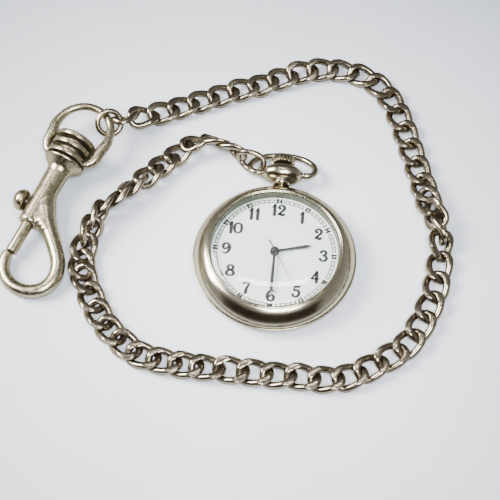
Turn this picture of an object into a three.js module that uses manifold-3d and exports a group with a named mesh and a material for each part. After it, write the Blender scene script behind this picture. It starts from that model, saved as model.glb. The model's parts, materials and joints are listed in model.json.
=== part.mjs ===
// Pocket watch with its curb chain and swivel snap hook.
// Millimetres. Origin: centre of the case back's flat rest face. +Z out through the crystal,
// +Y towards 12 o'clock and the pendant, +X towards 3 o'clock.
import * as THREE from 'three';
import { mergeVertices } from 'three/addons/utils/BufferGeometryUtils.js';
import Module from 'manifold-3d';

const wasm = await Module();
wasm.setup();

// ---- driving dimensions -------------------------------------------------------------------
const CASE_R = 23.6; // widest radius of the case
const BEZEL_R = 23.15; // radius of the bezel at its seam
const LIP_R = 18.7; // bezel's inner lip
const LIP_Z = 8.9;
const SEAM_Z = 4.1;
const BACK_Z = 1.7; // seam between the back and the case middle
const REST_R = 16; // flat rest face of the back
const DIAL_R = 18.6;
const DIAL_Z = 6.3; // printed face of the dial
const DIAL_THICK = 0.4;
const CRYSTAL_TOP = 10.5;
const STEM_Z = 4.4; // height of the winding stem's axis
const STEM_R = 0.7;
const PENDANT_Y = 27.7;
const PENDANT = { x: 6.05, y: 3.1, z: 4.0 }; // half sizes
const CLUTCH_TEETH = 9;
const CLUTCH_R = 0.95;
const CROWN_R = 3.5;
const CROWN_Y = [30.95, 33.3];
const CROWN_FLUTES = 20;
const BOW_WIRE_R = 0.9;
const BOW_TILT = 21.3; // degrees below the case plane, tip on the table
const BOW_LINK = { at: [-9.8, 31.8, 4], long: [-0.9, 0.4, 0], normal: [0.3, 0.8, -0.4] };
const JUMP_RING_R = 3.6;
const JUMP_RING_WIRE = 0.85;
const JUMP_RING = { at: [-53.4, 38.9, 8], long: [0.87, 0.49, 0], normal: [0.33, -0.58, 0.75] };
const HOUR_HAND = 10.7;
const MINUTE_HAND = 14;
const SECOND_HAND = 13;
const TIME = { hour: 75, minute: 180, second: 150 }; // hand angles, degrees clockwise from 12
const LINK = { a: 4.2, b: 3.1, twist: 0.7, wire: 0.85 }; // curb link centreline and wire radius
const HOOK = { at: [-65, 25.1, 6.3], yaw: -20, pitch: 5.8 };
const BOLT_R = 1.75;

// Route of the chain from the bow to the ring on the swivel eye.
const CHAIN_ROUTE = [
  [-17.4, 36.3, 2.6], [-20.3, 37.8, 2.1], [-23.6, 38.3, 1.9], [-27.6, 37.1, 1.9], [-31.8, 33.8, 1.9],
  [-40, 24.8, 1.9], [-47, 16.5, 2.2], [-52, 11, 2.8], [-53.8, 5, 2.4], [-55.5, -3, 1.9],
  [-54.3, -10, 1.9], [-48, -22, 1.9], [-43.5, -27.3, 1.9], [-36.5, -32.5, 1.9], [-29, -34.6, 1.9],
  [-16.5, -35.6, 1.9], [-3, -35.8, 1.9], [10.5, -36.3, 1.9], [17.5, -35.9, 1.9], [24, -34.3, 1.9],
  [35, -27.3, 1.9], [40.5, -21.3, 1.9], [45.3, -10, 1.9], [47.6, 1, 1.9], [47.6, 12, 2.2],
  [45.8, 18, 2.6], [44, 23, 2.2], [41.3, 32.5, 1.9], [35.3, 51, 1.9], [32.2, 58.5, 1.9],
  [28.2, 64.3, 1.9], [22.8, 68.1, 1.9], [16.3, 69.9, 1.9], [9.5, 69.9, 1.9], [3, 67.9, 1.9],
  [-8.5, 62.5, 1.9], [-20, 57.5, 1.9], [-32, 51.7, 1.9], [-39, 48.4, 2.2], [-44, 46, 3], [-47.2, 43.9, 4.4],
];
const CHAIN_WIDTH = 8;
const CHAIN_HEIGHT = 3.4;

// Train: teeth, and the distance between the two axes of each mesh.
const TEETH = {
  rotor: 6, intermediate: 30, intermediatePinion: 6, seconds: 36, secondsPinion: 6,
  third: 48, thirdPinion: 6, centre: 45, cannon: 10, minuteWheel: 30, minutePinion: 8, hour: 32,
};
const THIRD_REACH = 4.4;
const INTERMEDIATE_REACH = 4.5;
const ROTOR_REACH = 2.9;
const MOTION_REACH = 3.2;
const THIRD_AXIS = polar(THIRD_REACH, 200);
const INTERMEDIATE_AXIS = polar(INTERMEDIATE_REACH, -40);
const ROTOR_STEP = polar(ROTOR_REACH, -20);
const ROTOR_AXIS = [INTERMEDIATE_AXIS[0] + ROTOR_STEP[0], INTERMEDIATE_AXIS[1] + ROTOR_STEP[1]];
const MINUTE_AXIS = polar(MOTION_REACH, 60);
const GEAR_THICK = 0.3;
const LEVEL = { centre: 4.05, third: 3.4, seconds: 2.75, intermediate: 2.2, cannon: 5.27, hour: 5.57 };
const MOTION_THICK = 0.2;
const PLATE_Z = [4.6, 5.15];
const BRIDGE_Z = [1.5, 1.9];
const BATTERY = { at: [-8.6, 6.4], r: 3.4, z: [2.3, 4.4] };

// ---- materials ------------------------------------------------------------------------------
const metal = (color, roughness) => new THREE.MeshStandardMaterial({ color, roughness, metalness: 1 });
const plastic = (color, roughness) => new THREE.MeshStandardMaterial({ color, roughness, metalness: 0 });
const MATERIAL = {
  case: metal(0xb9b3a4, 0.2),
  chain: metal(0xa79f8e, 0.3),
  hook: metal(0xb3a98f, 0.33),
  steel: metal(0x9a9a98, 0.3),
  brass: metal(0xc0a050, 0.35),
  copper: metal(0xa8552c, 0.45),
  hands: metal(0x2b2c2f, 0.4),
  dial: plastic(0xf1f3ef, 0.6),
  movement: plastic(0x2a2d30, 0.6),
  holder: plastic(0xd9d9d2, 0.6),
  board: plastic(0x1e5a38, 0.5),
  gasket: plastic(0x3b3d3b, 0.8),
  glass: new THREE.MeshStandardMaterial({
    color: 0xf4fbf7, roughness: 0.05, metalness: 0, transparent: true, opacity: 0.3,
  }),
};

// ---- shape helpers ------------------------------------------------------------------------
function polar(r, degrees) {
  const t = THREE.MathUtils.degToRad(degrees);
  return [r * Math.cos(t), r * Math.sin(t)];
}

// Shared vertices merged, slivers dropped, faces turned outward.
function closed(source) {
  let g = source.index ? source.toNonIndexed() : source.clone();
  for (const name of Object.keys(g.attributes)) {
    if (name !== 'position') g.deleteAttribute(name);
  }
  g = mergeVertices(g, 1e-4);
  const at = g.attributes.position;
  const faces = [];
  const [a, b, c] = [new THREE.Vector3(), new THREE.Vector3(), new THREE.Vector3()];
  let volume = 0;
  for (let i = 0; i < g.index.count; i += 3) {
    const tri = [g.index.getX(i), g.index.getX(i + 1), g.index.getX(i + 2)];
    if (new Set(tri).size < 3) continue;
    a.fromBufferAttribute(at, tri[0]);
    b.fromBufferAttribute(at, tri[1]);
    c.fromBufferAttribute(at, tri[2]);
    volume += a.dot(b.cross(c));
    faces.push(tri);
  }
  g.setIndex(faces.flatMap((t) => (volume < 0 ? [t[0], t[2], t[1]] : t)));
  return g;
}

function toSolid(geometry) {
  const g = closed(geometry);
  return new wasm.Manifold(new wasm.Mesh({
    numProp: 3,
    vertProperties: new Float32Array(g.attributes.position.array),
    triVerts: new Uint32Array(g.index.array),
  }));
}

function fromSolid(solid) {
  const mesh = solid.getMesh();
  const g = new THREE.BufferGeometry();
  g.setAttribute('position', new THREE.BufferAttribute(mesh.vertProperties, 3));
  g.setIndex(new THREE.BufferAttribute(mesh.triVerts, 1));
  return g;
}

// First geometry, joined with `added` and then cut by `cuts`.
function joined(first, added = [], cuts = []) {
  let solid = toSolid(first);
  for (const g of added) solid = solid.add(toSolid(g));
  for (const g of cuts) solid = solid.subtract(toSolid(g));
  return fromSolid(solid);
}

// Profile of [radius, z] points turned about the Z axis.
function turned(profile, segments = 32) {
  const points = profile.map(([r, z]) => new THREE.Vector2(r, z));
  return new THREE.LatheGeometry(points, segments).rotateX(Math.PI / 2);
}

function ring(inner, outer, z0, z1, segments = 32) {
  return turned([[inner, z0], [outer, z0], [outer, z1], [inner, z1], [inner, z0]], segments);
}

function disc(r, z0, z1, x = 0, y = 0, segments = 24) {
  return turned([[0, z0], [r, z0], [r, z1], [0, z1]], segments).translate(x, y, 0);
}

// Cylinder of radius r along Y at the stem's height.
function rod(r, y0, y1, segments = 20) {
  const g = new THREE.CylinderGeometry(r, r, y1 - y0, segments);
  return g.translate(0, (y0 + y1) / 2, STEM_Z);
}

function block(x, y, z) {
  const g = new THREE.BoxGeometry(x[1] - x[0], y[1] - y[0], z[1] - z[0]);
  return g.translate((x[0] + x[1]) / 2, (y[0] + y[1]) / 2, (z[0] + z[1]) / 2);
}

function plate(outline, z0, z1) {
  const shape = new THREE.Shape(outline.map(([x, y]) => new THREE.Vector2(x, y)));
  return new THREE.ExtrudeGeometry(shape, { depth: z1 - z0, bevelEnabled: false }).translate(0, 0, z0);
}

function vectors(points) {
  return points.map((p) => new THREE.Vector3(...p));
}

// Round wire along an open curve.
function wire(curve, radius, sides, steps) {
  const section = new THREE.Shape();
  for (let i = 0; i < sides; i += 1) {
    const [x, y] = polar(radius, (360 * i) / sides);
    if (i === 0) section.moveTo(x, y);
    else section.lineTo(x, y);
  }
  return new THREE.ExtrudeGeometry(section, { steps, bevelEnabled: false, extrudePath: curve });
}

// Round bar whose radius changes along the curve, or a closed ring when `loop` is set.
function bar(curve, radiusAt, sides, steps, loop = false) {
  const frames = curve.computeFrenetFrames(steps, loop);
  const rows = loop ? steps : steps + 1;
  const at = [];
  for (let i = 0; i < rows; i += 1) {
    const p = curve.getPointAt(i / steps);
    for (let j = 0; j < sides; j += 1) {
      const [x, y] = polar(radiusAt(i / steps), (360 * j) / sides);
      const q = p.clone().addScaledVector(frames.normals[i], x).addScaledVector(frames.binormals[i], y);
      at.push(q.x, q.y, q.z);
    }
  }
  const faces = [];
  for (let i = 0; i < (loop ? rows : rows - 1); i += 1) {
    for (let j = 0; j < sides; j += 1) {
      const k = (j + 1) % sides;
      const [here, next] = [i * sides, ((i + 1) % rows) * sides];
      faces.push(here + j, here + k, next + j, here + k, next + k, next + j);
    }
  }
  if (!loop) {
    const last = (rows - 1) * sides;
    for (let j = 1; j < sides - 1; j += 1) {
      faces.push(0, j + 1, j, last, last + j, last + j + 1);
    }
  }
  const g = new THREE.BufferGeometry();
  g.setAttribute('position', new THREE.Float32BufferAttribute(at, 3));
  g.setIndex(faces);
  return g;
}

// Toothed disc with a tooth centred on the angle `phase`.
function gear(teeth, axisDistance, mateTeeth, z0, thick, phase, [x, y] = [0, 0]) {
  const module = (2 * axisDistance) / (teeth + mateTeeth);
  const pitchR = (module * teeth) / 2;
  const pitch = 360 / teeth;
  const outline = [];
  for (let i = 0; i < teeth; i += 1) {
    const mid = phase + i * pitch;
    outline.push(polar(pitchR - 1.15 * module, mid - 0.27 * pitch));
    outline.push(polar(pitchR + 0.8 * module, mid - 0.1 * pitch));
    outline.push(polar(pitchR + 0.8 * module, mid + 0.1 * pitch));
    outline.push(polar(pitchR - 1.15 * module, mid + 0.27 * pitch));
  }
  return plate(outline, z0, z0 + thick).translate(x, y, 0);
}

// ---- assembly -----------------------------------------------------------------------------
const group = new THREE.Group();

function add(name, geometry, material, parent = group) {
  const mesh = new THREE.Mesh(closed(geometry), material);
  mesh.name = name;
  parent.add(mesh);
  return mesh;
}

// Case: back, middle, bezel, crystal and their gaskets.
function buildCase() {
  const back = [
    [0, 0], [REST_R, 0], [20, 0.4], [21.5, 1], [22.1, BACK_Z - 0.15], [21.2, BACK_Z - 0.15], [21.2, 2.2],
    [20.7, 2.2], [20.7, 1.3], [16, 0.95], [0, 0.9],
  ];
  add('case_back', turned(back, 48), MATERIAL.case);
  add('back_gasket', ring(20.75, 21.15, 2.35, 2.7, 36), MATERIAL.gasket);

  const middle = [
    [21.4, BACK_Z], [22.3, BACK_Z], [22.95, 2.5], [CASE_R - 0.15, 3.2], [CASE_R, 3.7],
    [CASE_R - 0.2, SEAM_Z - 0.15], [21.1, SEAM_Z - 0.15], [21.1, 6.2], [20.6, 6.2], [20.6, 2.85],
    [21.4, 2.85], [21.4, BACK_Z],
  ];
  const hole = rod(1.35, 19, 25);
  add('case_middle', joined(turned(middle, 48), [], [hole]), MATERIAL.case);

  const bezel = [
    [21.3, SEAM_Z], [BEZEL_R, SEAM_Z], [BEZEL_R - 0.05, 4.75], [22.6, 5.75], [21.8, 6.9], [20.9, 7.9],
    [19.9, 8.6], [19.2, LIP_Z], [LIP_R, 8.8], [LIP_R - 0.1, 8.5], [19.6, 7.8], [20.2, 7.35],
    [21.3, 6.8], [21.3, SEAM_Z],
  ];
  add('bezel', joined(turned(bezel, 48), [], [hole]), MATERIAL.case);

  const crystal = [
    [0, 9.5], [9, 9.3], [15, 8.8], [18, 8], [18.9, 7.55], [19.4, 7.55], [19.1, 7.9], [LIP_R - 0.3, 8.4],
    [LIP_R - 0.35, 8.9], [17.6, 9.4], [14.6, 9.95], [9, 10.35], [0, CRYSTAL_TOP],
  ];
  add('crystal', turned(crystal, 36), MATERIAL.glass);
  add('crystal_gasket', ring(18.9, 20.2, 5.95, 7.2, 32), MATERIAL.gasket);
  add('dial', ring(1.3, DIAL_R, DIAL_Z - DIAL_THICK, DIAL_Z, 40), MATERIAL.dial);
}

// Pendant, its tube through the case wall, crown and stem.
function buildPendant() {
  const ball = new THREE.SphereGeometry(1, 20, 12).rotateX(Math.PI / 2);
  ball.scale(PENDANT.x, PENDANT.y, PENDANT.z).translate(0, PENDANT_Y, STEM_Z);
  const neck = [
    rod(2.6, 24.1, 24.8), rod(2.1, 24.7, 25.05), rod(2.2, 24.95, 25.6), rod(1.9, 25.5, 26.4),
  ];
  const pivots = new THREE.CylinderGeometry(0.75, 0.75, 13, 16).rotateZ(Math.PI / 2);
  pivots.translate(0, PENDANT_Y, STEM_Z);
  const seat = rod(2.5, PENDANT_Y + 2.75, PENDANT_Y + 4);
  add('pendant', joined(ball, neck, [rod(0.9, 20, 36), pivots, seat]), MATERIAL.case);
  const tube = joined(rod(1.2, 20.3, 23.5), [], [rod(0.85, 19, 25)]);
  add('pendant_tube', tube, MATERIAL.case);

  const outline = [];
  for (let i = 0; i < CROWN_FLUTES; i += 1) {
    const mid = (360 * i) / CROWN_FLUTES;
    outline.push(polar(CROWN_R - 0.28, mid - 5.6), polar(CROWN_R, mid - 3.6));
    outline.push(polar(CROWN_R, mid + 3.6), polar(CROWN_R - 0.28, mid + 5.6));
  }
  const crown = new THREE.ExtrudeGeometry(
    new THREE.Shape(outline.map((p) => new THREE.Vector2(...p))),
    { depth: CROWN_Y[1] - CROWN_Y[0], bevelEnabled: false },
  );
  crown.rotateX(-Math.PI / 2).translate(0, CROWN_Y[0], STEM_Z);
  const cap = rod(CROWN_R - 0.3, CROWN_Y[1] - 0.4, CROWN_Y[1] + 0.15);
  const socket = rod(STEM_R + 0.3, CROWN_Y[0] - 1, CROWN_Y[0] + 1.4);
  add('crown', joined(crown, [cap], [socket]), MATERIAL.case);

  const groove = joined(rod(1.2, 10.6, 11.3), [], [rod(0.45, 10, 12)]);
  const stem = joined(rod(STEM_R, 9.2, CROWN_Y[0] + 1.1), [rod(0.42, 7.2, 9.4)], [groove]);
  add('stem', stem, MATERIAL.steel);
  const teeth = gear(CLUTCH_TEETH, 2 * CLUTCH_R, CLUTCH_TEETH, 0, 1.2, 0).rotateX(-Math.PI / 2);
  teeth.translate(0, 7.6, STEM_Z);
  add('clutch_pinion', joined(teeth, [], [rod(0.5, 7, 10, 12)]), MATERIAL.steel);
  const lever = joined(
    block([-2.6, 0.45], [10.75, 11.15], [STEM_Z - 0.9, STEM_Z - 0.5]),
    [block([-2.6, -0.6], [10.75, 11.15], [STEM_Z - 0.9, STEM_Z + 0.3]),
      block([-5.4, -1.6], [10.4, 11.5], [STEM_Z - 1.2, STEM_Z - 0.8])],
  );
  add('setting_lever', lever, MATERIAL.steel);
}

// Bow: round wire in its own plane, its two pins in the pendant's sides.
function buildBow() {
  const half = [[6.3, 0], [7.6, 0], [9.1, 0.8], [9.8, 2.9], [8.9, 5.7], [5.5, 8.4], [0, 9.4]];
  const other = half.slice(0, -1).reverse().map(([x, y]) => [-x, y]);
  const points = [...half, ...other].map(([x, y]) => new THREE.Vector3(x, y, 0));
  const body = wire(new THREE.CatmullRomCurve3(points), BOW_WIRE_R, 8, 34);
  const pins = [-1, 1].map((side) => {
    const pin = new THREE.CylinderGeometry(0.62, 0.62, 2, 12).rotateZ(Math.PI / 2);
    return pin.translate(side * 5.5, 0, 0);
  });
  const mesh = add('bow', joined(body, pins), MATERIAL.case);
  mesh.rotation.x = THREE.MathUtils.degToRad(-BOW_TILT);
  mesh.position.set(0, PENDANT_Y, STEM_Z);
}

// Twisted oval link about the origin, long axis along X.
function curbLink() {
  const points = [];
  for (let i = 0; i < 16; i += 1) {
    const t = (2 * Math.PI * i) / 16;
    const lift = -LINK.twist * Math.sin(2 * t);
    points.push(new THREE.Vector3(LINK.a * Math.cos(t), LINK.b * Math.sin(t), lift));
  }
  const curve = new THREE.CatmullRomCurve3(points, true);
  return bar(curve, () => LINK.wire, 6, 24, true);
}

// Mesh turned so that its X and Z axes take the given directions.
function place(mesh, { at, long, normal }) {
  const x = new THREE.Vector3(...long).normalize();
  const z = new THREE.Vector3(...normal);
  z.addScaledVector(x, -z.dot(x)).normalize();
  const y = new THREE.Vector3().crossVectors(z, x);
  mesh.setRotationFromMatrix(new THREE.Matrix4().makeBasis(x, y, z));
  mesh.position.set(...at);
}

function buildChain() {
  const section = new THREE.Shape();
  for (let i = 0; i < 8; i += 1) {
    const [c, s] = polar(1, 22.5 + 45 * i);
    const [x, y] = [(CHAIN_HEIGHT / 2) * c, (CHAIN_WIDTH / 2) * s];
    if (i === 0) section.moveTo(x, y);
    else section.lineTo(x, y);
  }
  const route = new THREE.CatmullRomCurve3(vectors(CHAIN_ROUTE));
  const body = new THREE.ExtrudeGeometry(section, { steps: 64, bevelEnabled: false, extrudePath: route });
  add('chain', body, MATERIAL.chain);

  const first = add('bow_link', curbLink(), MATERIAL.chain);
  place(first, BOW_LINK);
  const torus = new THREE.TorusGeometry(JUMP_RING_R, JUMP_RING_WIRE, 8, 20);
  place(add('jump_ring', torus, MATERIAL.chain), JUMP_RING);
}

// Snap hook, built about its own axis: u across, v along towards the eye, w up.
function buildHook() {
  const hook = new THREE.Group();
  hook.position.set(...HOOK.at);
  hook.rotation.order = 'ZXY';
  hook.rotation.z = THREE.MathUtils.degToRad(HOOK.yaw);
  hook.rotation.x = THREE.MathUtils.degToRad(HOOK.pitch);
  group.add(hook);
  const along = (profile, segments) => turned(profile, segments).rotateX(-Math.PI / 2);

  // Swivel eye: tapered ring whose feet run into a bored washer.
  const eyeLine = vectors([
    [-5.2, 1.15, 0], [-6.9, 1.7, 0], [-8.1, 4, 0], [-8.35, 7.5, 0], [-8.75, 11, 0], [-7.3, 15.7, 0],
    [-3.9, 18.8, 0], [0, 19.7, 0], [3.9, 18.8, 0], [7.3, 15.7, 0], [8.75, 11, 0], [8.35, 7.5, 0], [8.1, 4, 0],
    [6.9, 1.7, 0], [5.2, 1.15, 0],
  ]);
  const swelling = (t) => Math.exp(-(((Math.abs(2 * t - 1) - 0.68) / 0.2) ** 2));
  const thickness = (t) => 1.15 + 0.45 * swelling(t);
  const eye = bar(new THREE.CatmullRomCurve3(eyeLine), thickness, 8, 34);
  const washer = along([[0, 0.35], [6.3, 0.35], [6.3, 1.8], [0, 1.8]], 24);
  const bore = along([[0, -1], [2.15, -1], [2.15, 3], [0, 3]], 16);
  add('swivel_eye', joined(eye, [washer], [bore]), MATERIAL.hook, hook);

  // Ringed head of the swivel stud.
  const head = [
    [0, 2.75], [4.6, 2.75], [4.6, 3.5], [6.2, 3.5], [6.2, 4.9], [4.6, 4.9], [4.6, 6.3], [6.3, 6.3],
    [6.3, 7.6], [5.9, 7.95], [0, 8.1],
  ];
  add('swivel_head', along(head, 24), MATERIAL.hook, hook);

  // Hook body: flange, barrel and teardrop loop, bored for the bolt and slotted for the knob.
  const barrel = [
    [0, -22.6], [3.0, -22.6], [3.25, -22.2], [3.3, -10], [3.5, -3.6], [3.9, -3.1], [6, -1.2], [6.2, -0.9],
    [6.2, -0.3], [2, 0], [2, 2.4], [0, 2.4],
  ];
  const loopLine = vectors([
    [0.5, -11, 0], [3.0, -16.6, 0], [6.4, -21.3, 0], [10.8, -25.8, 0], [14.2, -30, 0], [15.5, -34.6, 0],
    [13.9, -39, 0], [9.6, -41.4, 0], [4.8, -41.1, 0], [1.2, -38.6, 0], [-0.5, -35.2, 0], [-0.6, -32.9, 0],
  ]);
  const root = (t) => Math.exp(-(((t - 0.1) / 0.16) ** 2));
  const loopR = (t) => 1.75 + 1.15 * root(t) + 0.4 * Math.sin(Math.PI * t) ** 2;
  const loop = bar(new THREE.CatmullRomCurve3(loopLine), loopR, 10, 30);
  const webLine = new THREE.LineCurve3(new THREE.Vector3(1.2, -9, 0), new THREE.Vector3(3.7, -21.3, 0));
  const web = bar(webLine, () => 2.9, 12, 2);
  const bolthole = along([[0, -24], [BOLT_R + 0.15, -24], [BOLT_R + 0.15, -7], [0, -7]], 16);
  const slot = block([-6, 0], [-18.4, -10.2], [-1.15, 1.15]);
  add('hook_body', joined(along(barrel, 20), [loop, web], [bolthole, slot]), MATERIAL.hook, hook);

  // Spring bolt with its thumb knob, and the coil spring behind it.
  const bolt = along([
    [0, -32.5], [BOLT_R - 0.25, -32.5], [BOLT_R, -32.2], [BOLT_R, -13.2], [0.7, -13.2], [0.7, -11.6],
    [0, -11.6],
  ], 20);
  add('trigger_bolt', bolt, MATERIAL.hook, hook);
  const dome = [
    [0, 2.05], [0.85, 2.05], [0.85, 3.9], [2.7, 4], [3.2, 4.5], [3.3, 5.2], [3, 6.3], [2.3, 7.2],
    [1.3, 7.75], [0, 7.95],
  ];
  const knob = turned(dome, 18).rotateY(-Math.PI / 2).translate(0, -16.4, 0);
  add('trigger_knob', knob, MATERIAL.hook, hook);
  const coils = [];
  const turns = 5;
  for (let i = 0; i <= turns * 10; i += 1) {
    const [x, z] = polar(1.25, 36 * i);
    coils.push([x, -12.85 + (5.4 * i) / (turns * 10), z]);
  }
  const spring = wire(new THREE.CatmullRomCurve3(vectors(coils)), 0.2, 5, turns * 9);
  add('bolt_spring', spring, MATERIAL.steel, hook);
}

// Quartz movement: plates, train, motion work, battery, coil and circuit.
function buildMovement() {
  const stemCut = block([-1.6, 1.6], [6.8, 21], [STEM_Z - 1.4, STEM_Z + 1.6]);
  const leverCut = block([-5.8, 1.6], [9.6, 13], [STEM_Z - 1.4, STEM_Z + 1.6]);
  const holder = joined(ring(15.4, 20.2, 2.3, 5.4, 36), [], [stemCut]);
  add('movement_ring', holder, MATERIAL.holder);

  const pivot = (x, y, r) => disc(r, 0, 6, x, y, 12);
  const holes = [
    pivot(0, 0, 0.75),
    ...[THIRD_AXIS, INTERMEDIATE_AXIS, ROTOR_AXIS].map((axis) => pivot(...axis, 0.32)),
  ];
  const screws = [[-10.5, -4.5], [1.2, -11.4], [10.8, 5.2]];
  const posts = screws.map(([x, y]) => disc(1.1, 2.05, PLATE_Z[0] + 0.1, x, y, 12));
  const tapped = screws.map(([x, y]) => disc(0.5, 0, 4.4, x, y, 12));
  const main = joined(disc(15, ...PLATE_Z, 0, 0, 36), posts, [...holes, ...tapped, stemCut, leverCut]);
  add('main_plate', main, MATERIAL.movement);

  const outline = [
    [-12, -3.4], [-9.8, -6.4], [0.8, -12.9], [3.2, -12.7], [12.6, 4.4], [11.6, 6.9], [8.8, 6.4], [-2, 1.8],
  ];
  const bridge = joined(plate(outline, ...BRIDGE_Z), [], [
    pivot(0, 0, 0.32), ...holes.slice(1), ...screws.map(([x, y]) => disc(0.6, 0, 4, x, y, 12)),
  ]);
  add('train_bridge', bridge, MATERIAL.steel);
  screws.forEach(([x, y], i) => {
    const slot = block([x - 1.2, x + 1.2], [y - 0.12, y + 0.12], [0.9, 1.28]);
    const screw = joined(disc(1, 1.05, 1.44, x, y, 20), [disc(0.42, 1.4, 3.9, x, y, 12)], [slot]);
    add(`bridge_screw_${i + 1}`, screw, MATERIAL.steel);
  });

  const { at, r, z } = BATTERY;
  add('battery', disc(r, ...z, ...at, 36), MATERIAL.steel);
  const clamp = block([at[0] - 1, at[0] + 1], [at[1] - 4.4, at[1] + 3.2], [1.75, 2]);
  add('battery_clamp', clamp, MATERIAL.steel);

  const coilAt = [7.6, -8.4];
  const coil = new THREE.CylinderGeometry(1.15, 1.15, 7, 20).rotateZ(Math.PI / 2);
  const core = new THREE.CylinderGeometry(0.55, 0.55, 9, 12).rotateZ(Math.PI / 2);
  const angle = THREE.MathUtils.degToRad(38);
  const putCoil = (g) => g.rotateZ(angle).translate(coilAt[0], coilAt[1], 3.4);
  const coilBore = new THREE.CylinderGeometry(0.65, 0.65, 12, 12).rotateZ(Math.PI / 2);
  add('coil', putCoil(joined(coil, [], [coilBore])), MATERIAL.copper);
  add('coil_core', putCoil(core), MATERIAL.steel);
  const poles = ring(1.1, 1.9, 2.75, 3.15, 24);
  const arm = block([1.2, 4.4], [-0.5, 0.5], [2.75, 3.15]);
  const stator = joined(poles, [arm]).translate(...ROTOR_AXIS, 0);
  add('stator', stator, MATERIAL.steel);

  const board = plate([[2.2, 8], [8.3, 8], [11.4, 8.6], [9.4, 11], [6, 13], [2.2, 14.1]], 2.2, 2.6);
  add('circuit_board', board, MATERIAL.board);
  const can = new THREE.CylinderGeometry(0.7, 0.7, 4.6, 16).rotateZ(Math.PI / 2).translate(6.2, 9.6, 3.6);
  add('quartz_can', can, MATERIAL.steel);

  // Train. Each mesh has a tooth of the wheel and a gap of the pinion on the line of centres.
  const gap = (teeth, angleOut) => angleOut + 180 / teeth;
  const arbor = (x, y, z0, z1) => disc(0.2, z0, z1, x, y, 12);
  const seconds = gear(
    TEETH.seconds, INTERMEDIATE_REACH, TEETH.intermediatePinion, LEVEL.seconds, GEAR_THICK, -40,
  );
  const secondsPinion = gear(
    TEETH.secondsPinion, THIRD_REACH, TEETH.third, LEVEL.third - 0.15, 0.6, gap(TEETH.secondsPinion, 200),
  );
  add('seconds_wheel', joined(seconds, [secondsPinion, arbor(0, 0, 1.6, 8.05)]), MATERIAL.brass);

  const third = gear(
    TEETH.third, THIRD_REACH, TEETH.secondsPinion, LEVEL.third, GEAR_THICK, 20, THIRD_AXIS,
  );
  const thirdPinion = gear(
    TEETH.thirdPinion, THIRD_REACH, TEETH.centre, LEVEL.centre - 0.1, 0.45,
    gap(TEETH.thirdPinion, 20), THIRD_AXIS,
  );
  add('third_wheel', joined(third, [thirdPinion, arbor(...THIRD_AXIS, 1.6, 5.05)]), MATERIAL.brass);

  const intermediate = gear(
    TEETH.intermediate, ROTOR_REACH, TEETH.rotor, LEVEL.intermediate, GEAR_THICK, -20, INTERMEDIATE_AXIS,
  );
  const intermediatePinion = gear(
    TEETH.intermediatePinion, INTERMEDIATE_REACH, TEETH.seconds, LEVEL.seconds - 0.3, 0.65,
    gap(TEETH.intermediatePinion, 140), INTERMEDIATE_AXIS,
  );
  const intermediateArbor = arbor(...INTERMEDIATE_AXIS, 1.6, 5.05);
  add(
    'intermediate_wheel', joined(intermediate, [intermediatePinion, intermediateArbor]), MATERIAL.brass,
  );

  const rotor = gear(
    TEETH.rotor, ROTOR_REACH, TEETH.intermediate, LEVEL.intermediate - 0.1, 0.5,
    gap(TEETH.rotor, 160), ROTOR_AXIS,
  );
  const magnet = disc(0.8, 2.75, 3.5, ...ROTOR_AXIS, 20);
  add('rotor', joined(rotor, [arbor(...ROTOR_AXIS, 1.6, 5.05), magnet]), MATERIAL.steel);

  const bore = (radius, z) => disc(radius, z - 1, 9, 0, 0, 20);
  const centre = gear(
    TEETH.centre, THIRD_REACH, TEETH.thirdPinion, LEVEL.centre, GEAR_THICK, 200,
  );
  const centrePipe = disc(0.55, LEVEL.centre, 7.62, 0, 0, 20);
  add('centre_wheel', joined(centre, [centrePipe], [bore(0.3, LEVEL.centre)]), MATERIAL.brass);

  const cannon = gear(
    TEETH.cannon, MOTION_REACH, TEETH.minuteWheel, LEVEL.cannon, MOTION_THICK, gap(TEETH.cannon, 60),
  );
  add('cannon_pinion', joined(cannon, [], [bore(0.58, LEVEL.cannon)]), MATERIAL.steel);

  const minuteWheel = gear(
    TEETH.minuteWheel, MOTION_REACH, TEETH.cannon, LEVEL.cannon, MOTION_THICK, 240, MINUTE_AXIS,
  );
  const minutePinion = gear(
    TEETH.minutePinion, MOTION_REACH, TEETH.hour, LEVEL.cannon + 0.1, 0.5,
    gap(TEETH.minutePinion, 240), MINUTE_AXIS,
  );
  add('minute_wheel', joined(minuteWheel, [minutePinion]), MATERIAL.brass);

  const hour = gear(
    TEETH.hour, MOTION_REACH, TEETH.minutePinion, LEVEL.hour, MOTION_THICK, 60,
  );
  const hourPipe = disc(0.95, LEVEL.hour, 7.0, 0, 0, 20);
  add('hour_wheel', joined(hour, [hourPipe], [bore(0.65, LEVEL.hour)]), MATERIAL.brass);
}

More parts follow.
